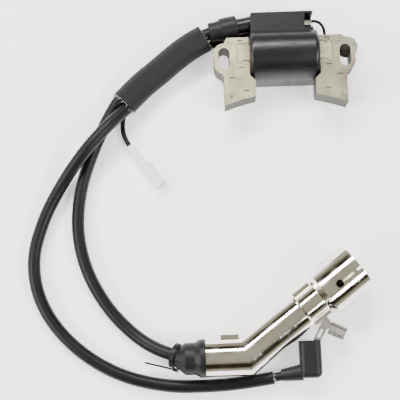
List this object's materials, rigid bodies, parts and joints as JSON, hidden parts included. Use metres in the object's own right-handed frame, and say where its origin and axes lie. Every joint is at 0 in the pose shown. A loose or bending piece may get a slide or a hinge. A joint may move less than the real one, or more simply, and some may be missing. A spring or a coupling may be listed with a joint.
{
  "type": "ignition coil",
  "caption": "Small-engine ignition coil: laminated core with slotted legs, potted coil, sheathed leads and an elbowed metal-shielded spark plug cap.",
  "frame": {"origin": "on the back rim of the coil housing, midway between the two mounting slots", "axes": "+X from the left slot to the right slot, -Y towards the flywheel, +Z out of the coil's round front; the harness rests on Z = 0"},
  "size_m": [0.206, 0.2266, 0.0316],
  "materials": {
    "housing_plastic": "satin black moulded plastic",
    "lamination_left": "olive-beige coated laminations",
    "lamination_right": "grey coated laminations",
    "rivet_steel": "dull steel",
    "board": "glass-fibre board",
    "resin": "cast black resin",
    "brass": "bright",
    "copper": "enamelled copper",
    "bobbin_plastic": "natural nylon",
    "tinned": "tinned sheet",
    "rubber": "black, slightly shiny",
    "lead_jacket": "satin black jacket",
    "woven_sleeve": "black woven sleeving",
    "white_plastic": "translucent white vinyl",
    "chrome": "polished",
    "insulator": "moulded phenolic",
    "ceramic": "glazed ceramic",
    "spring_steel": "spring steel"
  },
  "bodies": {
    "root": {"coil_housing": "housing_plastic", "core_left_leg": "lamination_left", "core_right_leg": "lamination_right", "core_bridge": "lamination_left", "core_rivets": "rivet_steel", "trigger_board": "board", "trigger_transistor": "resin", "trigger_parts": "resin", "ht_terminal": "brass", "ht_conductor": "copper", "primary_bobbin": "bobbin_plastic", "primary_winding": "copper", "secondary_bobbin": "bobbin_plastic", "secondary_winding": "copper", "stop_terminal": "tinned", "potting_fill": "resin", "ht_cap": "rubber", "ht_lead": "lead_jacket", "ground_cable": "lead_jacket", "ground_hose": "lead_jacket", "kill_wire": "lead_jacket", "module_ground_wire": "lead_jacket", "bundle_sleeve": "woven_sleeve", "ground_ring": "tinned", "kill_sleeve": "white_plastic", "kill_bullet": "brass", "shield_front": "chrome", "shield_back": "chrome", "shield_clips": "chrome", "cap_insulator": "insulator", "corner_contact": "brass", "lead_screw": "brass", "suppressor_resistor": "ceramic", "contact_spring": "spring_steel", "plug_clip": "spring_steel", "plug_seal": "rubber", "cap_boot": "rubber", "boot_tie": "lead_jacket", "ground_bracket": "tinned", "spade_receptacle": "tinned", "ground_terminal": "tinned", "ground_boot": "rubber"}
  },
  "joints": []
}
